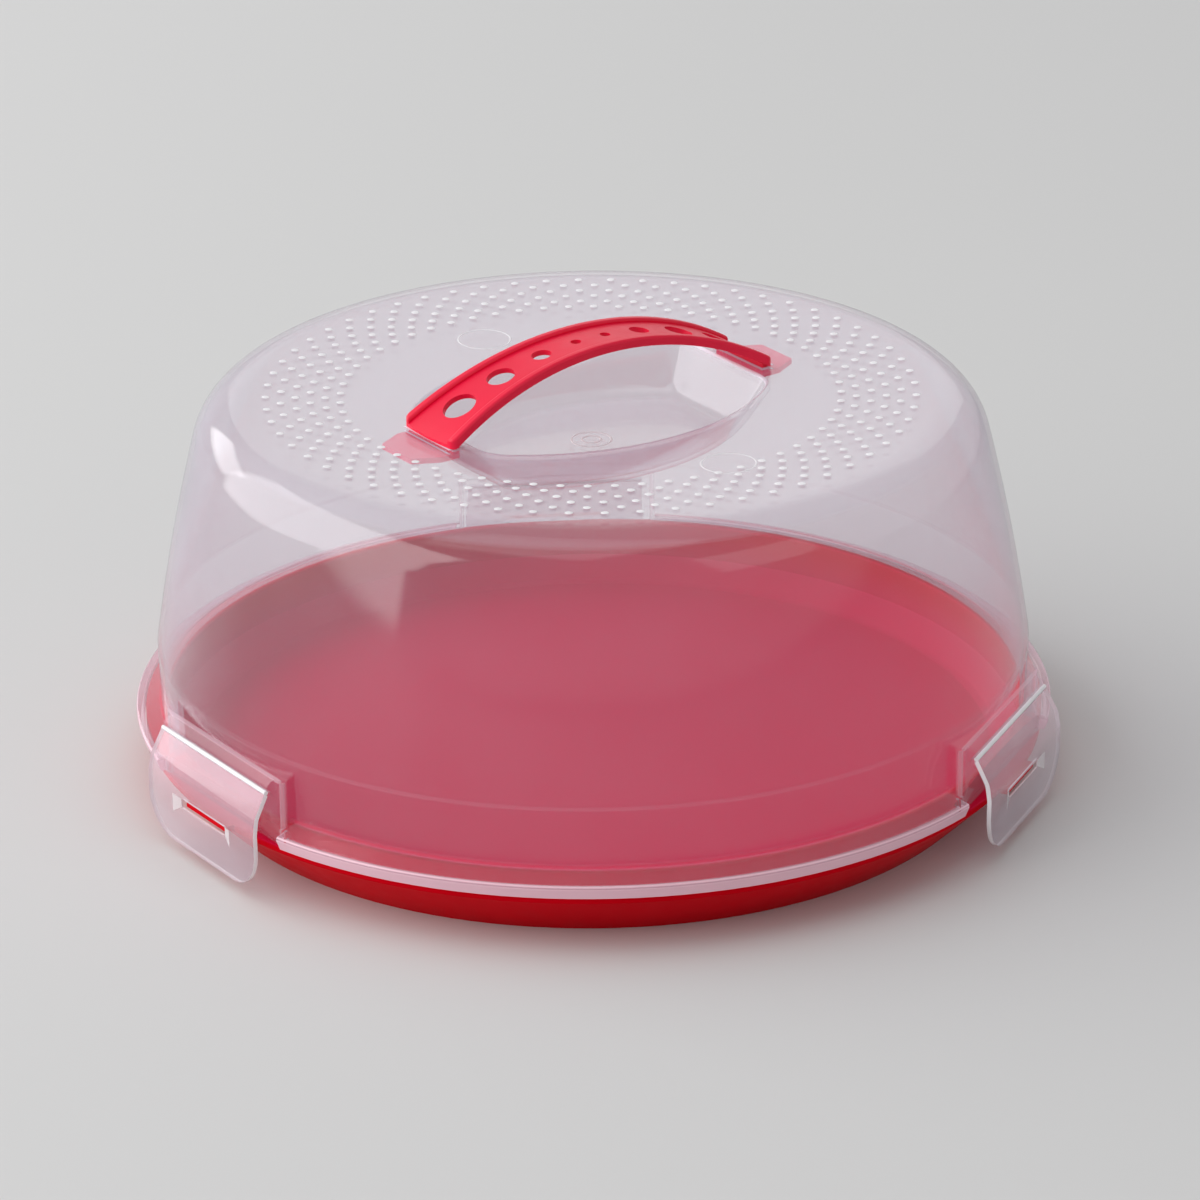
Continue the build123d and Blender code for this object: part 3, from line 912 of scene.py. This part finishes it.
@dataclass
class Lid:
    """The milky clear lid with its rings of small domes, its ejector circles and its gate mark."""

    top_height: float = 139.2 * MM
    dish_radius: float = 2964 * MM
    outer_ring: float = 116 * MM
    ring_shares: tuple[float, ...] = (0.771, 0.8169, 0.863, 0.9086, 0.9544, 1.0)
    domes_per_ring: int = 60
    dome_radius: float = 1.45 * MM
    dome_height: float = 0.1 * MM
    dome_sink: float = 0.05 * MM
    dome_sides: int = 12
    dome_bands: int = 8
    dome_crisp: float = 45.0
    circle_radius: float = 9.6 * MM
    circle_places: tuple[tuple[float, float], ...] = ((1.5 * MM, 69.8 * MM), (-0.2 * MM, -82.6 * MM))
    mark_radii: tuple[float, ...] = (3.4 * MM, 7.2 * MM)
    floor_height: float = 123.0 * MM
    ridge_half_width: float = 0.35 * MM
    ridge_height: float = 0.14 * MM
    ridge_segments: int = 72
    ridge_sides: int = 8
    ridge_crisp: float = 60.0
    finish: MilkyPlastic = MilkyPlastic(
        "lid_clear",
        haze=0.042,
        edge_haze=0.55,
        edges=LidEdges(),
        # Painted light: the milk is painted warm pink near the tray.
        painted_glow_where=HeightRamp((30.0, 100.0), (1.0, 0.0)),
        # Painted highlight: a red line along the ledge corner.
        painted_line_where=LedgeCorner(),
    )
    mark_finish: MilkyPlastic = MilkyPlastic(
        "lid_mark_clear", haze=0.8, edge_haze=0.9, body=(0.99, 0.97, 1.0)
    )
    dome_finish: MilkyPlastic = MilkyPlastic(
        "lid_dome_white", haze=0.88, edge_haze=0.92, body=(0.99, 0.97, 1.0), gloss=0.03, edge_gloss=0.2
    )
    pieces: list[bpy.types.Object] = field(default_factory=list)

    def surface_height(self, distance: float) -> float:
        """Height of the dished top at a distance from the axis."""
        return self.top_height + self.dish_radius - math.sqrt(self.dish_radius**2 - distance**2)

    def build(self) -> None:
        """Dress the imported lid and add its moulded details."""
        lid = frame["nodes"]["lid"]
        dress(lid, self.finish.material())
        domes = self.domes()
        ridges = self.ridges()
        dress(domes, self.dome_finish.material())
        dress(ridges, self.mark_finish.material())
        for piece in (domes, ridges):
            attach(piece, "lid")
        self.pieces += [lid, domes, ridges]

    def dome(self) -> bpy.types.Object:
        """Model one small dome at the origin, with its base closed and its top up.

        Returns:
            The dome.
        """
        clear_selection()
        bpy.ops.mesh.primitive_uv_sphere_add(
            segments=self.dome_sides, ring_count=self.dome_bands, radius=self.dome_radius
        )
        dome = named_new("dome")
        bpy.ops.object.mode_set(mode="EDIT")
        bpy.ops.mesh.select_all(action="SELECT")
        bpy.ops.mesh.bisect(
            plane_co=(0, 0, 0), plane_no=(0, 0, 1), clear_inner=True, use_fill=True, threshold=CUT_MERGE
        )
        bpy.ops.mesh.select_all(action="SELECT")
        bpy.ops.transform.resize(value=(1, 1, (self.dome_height + self.dome_sink) / self.dome_radius))
        bpy.ops.object.mode_set(mode="OBJECT")
        smooth(dome, self.dome_crisp)
        return dome

    def domes(self) -> bpy.types.Object:
        """Set the rings of domes on the lid's top, every other ring half a step on.

        Returns:
            All domes as one piece.
        """
        places = []
        step = FULL_TURN / self.domes_per_ring
        for ring, share in enumerate(self.ring_shares):
            radius = share * self.outer_ring
            height = self.surface_height(radius) - self.dome_sink
            lean = math.asin(radius / self.dish_radius)
            for index in range(self.domes_per_ring):
                turn = (index + ring % 2 / 2) * step
                about = Matrix.Rotation(turn, 4, "Z")
                seat = Matrix.Translation((radius, 0, height)) @ Matrix.Rotation(-lean, 4, "Y")
                places.append(about @ seat)
        return copies(self.dome(), places, "lid_domes")

    def ridge(self, radius: float) -> bpy.types.Object:
        """Model one fine raised circle at the origin.

        Args:
            radius: Its radius.

        Returns:
            The ridge, closed, with its base at Z = 0.
        """
        clear_selection()
        bpy.ops.mesh.primitive_torus_add(
            major_radius=radius,
            minor_radius=self.ridge_half_width,
            major_segments=self.ridge_segments,
            minor_segments=self.ridge_sides,
        )
        ridge = named_new("ridge")
        bpy.ops.object.mode_set(mode="EDIT")
        bpy.ops.mesh.select_all(action="SELECT")
        bpy.ops.transform.resize(value=(1, 1, self.ridge_height / self.ridge_half_width))
        bpy.ops.mesh.select_all(action="SELECT")
        bpy.ops.mesh.bisect(
            plane_co=(0, 0, 0), plane_no=(0, 0, 1), clear_inner=True, use_fill=True, threshold=CUT_MERGE
        )
        bpy.ops.object.mode_set(mode="OBJECT")
        smooth(ridge, self.ridge_crisp)
        return ridge

    def ridges(self) -> bpy.types.Object:
        """Set the ejector circles on the lid's top and the gate mark on the floor of its well.

        Returns:
            All ridges as one piece.
        """
        made = []
        for x, y in self.circle_places:
            distance = math.hypot(x, y)
            lean = math.asin(distance / self.dish_radius)
            about = Matrix.Rotation(math.atan2(y, x), 4, "Z")
            height = self.surface_height(distance)
            seat = Matrix.Translation((distance, 0, height)) @ Matrix.Rotation(-lean, 4, "Y")
            made.append(copies(self.ridge(self.circle_radius), [about @ seat], "circle"))
        well_floor = Matrix.Translation((0, 0, self.floor_height))
        for radius in self.mark_radii:
            made.append(copies(self.ridge(radius), [well_floor], "mark"))
        return joined(made, "lid_moulding_marks")


@dataclass
class Handle:
    """The red bridge handle with its rims and row of holes. Its feet, under the lid's top, are painted
    lighter and pinker: painted light.
    """

    finish: GlossPlastic = GlossPlastic(
        "handle_red",
        colour=(0.84, 0.004, 0.045),
        deep_colour=(0.8, 0.003, 0.04),
        # Painted light on the handle's feet below the lid's top.
        painted_light_colour=(0.95, 0.05, 0.16),
        painted_light_where=HeightRamp((138.6, 139.2), (1.0, 0.0)),
        specular=0.3,
        roughness=(0.34, 0.4),
    )
    pieces: list[bpy.types.Object] = field(default_factory=list)

    def build(self) -> None:
        """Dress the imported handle."""
        handle = frame["nodes"]["handle"]
        dress(handle, self.finish.material())
        self.pieces.append(handle)


@dataclass(frozen=True)
class LatchFinishes:
    """Finishes shared by the three latches."""

    face: MilkyPlastic = MilkyPlastic(
        "latch_clear",
        haze=0.075,
        edge_haze=0.55,
        edges=HeightRamp((18.0, 28.0), (0.09, 0.22)),
        # Painted light: the flap's milk is painted warm pink near the tray.
        painted_glow_where=HeightRamp((14.0, 26.0), (0.0, 1.0)),
    )
    # Painted highlight: the flap's edges and its hinge are painted near-white.
    edge: MilkyPlastic = MilkyPlastic(
        "latch_edge_white", haze=0.85, edge_haze=0.9, body=(0.99, 0.98, 1.0)
    )
    # Painted highlight: the frame round the slot is painted whiter.
    frame: MilkyPlastic = MilkyPlastic(
        "latch_frame_white", haze=0.5, edge_haze=0.7, body=(0.99, 0.98, 1.0)
    )

    def materials(self) -> tuple[bpy.types.Material, ...]:
        """Make the materials of the faces, and of the edges and the frame round the slot, which are painted
        whiter as painted highlights.
        """
        return self.face.material(), self.edge.material(), self.frame.material()


@dataclass
class Latch:
    """One clear latch with its softened edges and its hinge, both painted whiter: the milk seen through the
    flap's thickness, and a painted highlight along the edges.
    """

    side: LatchSide
    edge_round: float = 0.35 * MM
    frame_half_width: float = 19.0 * MM
    frame_bottom: float = 16.2 * MM
    frame_top: float = 23.2 * MM
    frame_slopes: tuple[float, float] = (0.15, 0.6)
    edge_slope: float = 0.35
    pieces: list[bpy.types.Object] = field(default_factory=list)

    @property
    def outward(self) -> Vector:
        """Direction that the latch faces."""
        angle = math.radians(self.side.value)
        return Vector((math.cos(angle), math.sin(angle), 0.0))

    def is_edge(self, face: bmesh.types.BMFace) -> bool:
        """Whether a face shows the flap's thickness."""
        return abs(face.normal.dot(self.outward)) < self.edge_slope

    def is_frame(self, face: bmesh.types.BMFace) -> bool:
        """Whether a face belongs to the sloped frame at the two ends of the slot.

        Args:
            face: One face of the flap.

        Returns:
            True for a slope beside the slot.
        """
        middle = face.calc_center_median()
        across = abs(middle.cross(self.outward).z)
        near_slot = across < self.frame_half_width and self.frame_bottom < middle.z < self.frame_top
        flattest, steepest = self.frame_slopes
        return near_slot and flattest < abs(face.normal.cross(self.outward).z) < steepest

    def build(self, materials: Sequence[bpy.types.Material]) -> None:
        """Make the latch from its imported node, rounded at its edges, and dress it and its hinge.

        Args:
            materials: Finishes of its faces, its edges and the frame round its slot.
        """
        node = self.side.body
        flap = refined_copy(node, node + "_flap")
        flap.data.materials.clear()
        for material in materials:
            flap.data.materials.append(material)
        finish_faces(flap, 1, self.is_edge)
        finish_faces(flap, 2, self.is_frame)
        soften_edges(flap, self.edge_round)
        smooth(flap)
        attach(flap, self.side.body)
        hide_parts(node)
        hinge = frame["nodes"][self.side.hinge_node]
        dress(hinge, materials[1])
        self.pieces += [flap, hinge]


# Studio


@dataclass(frozen=True)
class Softbox:
    """One large studio lamp that points at the carrier, placed by its bearing and height angle."""

    name: str
    bearing: float
    height_angle: float
    distance: float
    size: tuple[float, float]
    radiance: float

    def build(self, target: Vector) -> None:
        """Hang the lamp.

        Args:
            target: The point it faces.
        """
        lamp = bpy.data.lights.new(self.name, "AREA")
        lamp.shape = "RECTANGLE"
        lamp.size, lamp.size_y = self.size
        lamp.energy = self.radiance * math.pi * self.size[0] * self.size[1]
        holder = bpy.data.objects.new(self.name, lamp)
        level = self.distance * math.cos(math.radians(self.height_angle))
        bearing = math.radians(self.bearing)
        height = self.distance * math.sin(math.radians(self.height_angle))
        place = target + Vector((level * math.cos(bearing), level * math.sin(bearing), height))
        holder.location = place
        holder.rotation_mode = "QUATERNION"
        holder.rotation_quaternion = (target - place).to_track_quat("-Z", "Y")
        holder.visible_camera = False
        bpy.context.scene.collection.objects.link(holder)


@dataclass
class Studio:
    """Floor, lamps, world and camera."""

    floor_radius: float = 3.2
    floor_sides: int = 128
    camera_place: tuple[float, float, float] = (-1.0192, -1.4493, 0.8208)
    camera_heading: float = 35.2
    camera_pitch: float = 23.2285
    camera_roll: float = -0.5
    lens: float = 159.365
    film_width: float = 36.0
    aim_height: float = 0.07
    ambient: float = 0.42
    ambient_colour: Colour = (0.97, 0.985, 1.0)
    backdrop: Colour = (0.74, 0.735, 0.73)
    lamps: tuple[Softbox, ...] = (
        Softbox("key", 97.0, 17.0, 3.2, (1.2, 0.9), 2.6),
        Softbox("side", 147.0, 25.0, 3.3, (5.2, 3.1), 2.5),
        Softbox("back", 52.0, 24.0, 3.5, (2.6, 1.5), 0.45),
        Softbox("ceiling", 200.0, 78.0, 3.4, (2.4, 2.4), 0.8),
        Softbox("fill", 285.0, 30.0, 3.4, (1.8, 1.8), 0.7),
    )

    def build(self) -> None:
        """Set everything round the carrier."""
        self.floor()
        self.world()
        self.camera()
        target = Vector((0, 0, self.aim_height))
        for lamp in self.lamps:
            lamp.build(target)
        bpy.context.scene.view_settings.view_transform = "Standard"

    def floor(self) -> None:
        """Lay a round floor, which ends in the pale backdrop."""
        clear_selection()
        bpy.ops.mesh.primitive_circle_add(
            vertices=self.floor_sides, radius=self.floor_radius, fill_type="NGON"
        )
        floor = named_new("studio_floor")
        dress(floor, FloorPaint().material())

    def world(self) -> None:
        """Light the studio evenly, and show its pale backdrop to the camera, in gloss and through glass."""
        world = bpy.data.worlds.new("studio")
        bpy.context.scene.world = world
        world.use_nodes = True
        graph = Graph(world.node_tree)
        path = graph.node("ShaderNodeLightPath", {}, {})
        camera, gloss, through = (
            Value(graph, path.outputs[kind])
            for kind in ("Is Camera Ray", "Is Glossy Ray", "Is Transmission Ray")
        )
        seen = (camera + gloss + through).at_most(1.0)
        ambient = graph.node(
            "ShaderNodeBackground", {}, {"Color": (*self.ambient_colour, 1.0), "Strength": self.ambient}
        )
        backdrop = graph.node("ShaderNodeBackground", {}, {"Color": (*self.backdrop, 1.0), "Strength": 1.0})
        graph.finish(graph.mixed(seen, ambient, backdrop), "ShaderNodeOutputWorld")

    def camera(self) -> None:
        """Stand the camera at the photograph's viewing angle."""
        data = bpy.data.cameras.new("camera")
        data.lens = self.lens
        data.sensor_width = self.film_width
        camera = bpy.data.objects.new("camera", data)
        turn = (
            Matrix.Rotation(-math.radians(self.camera_heading), 4, "Z")
            @ Matrix.Rotation(math.radians(90 - self.camera_pitch), 4, "X")
            @ Matrix.Rotation(math.radians(self.camera_roll), 4, "Z")
        )
        camera.matrix_world = Matrix.Translation(self.camera_place) @ turn
        bpy.context.scene.collection.objects.link(camera)
        bpy.context.scene.camera = camera


def report(pieces: Iterable[bpy.types.Object]) -> None:
    """Log the size of each finished piece.

    Args:
        pieces: The pieces of one sub-assembly.
    """
    for piece in pieces:
        LOG.info("%s: %d faces", piece.name, len(piece.data.polygons))


def main() -> None:
    """Build the carrier and its studio."""
    logging.basicConfig(level=logging.INFO, format="%(message)s")
    for assembly in (Tray(), Lid(), Handle()):
        assembly.build()
        report(assembly.pieces)
    latch_materials = LatchFinishes().materials()
    for side in LatchSide:
        latch = Latch(side)
        latch.build(latch_materials)
        report(latch.pieces)
    Studio().build()


if __name__ == "__main__":
    main()
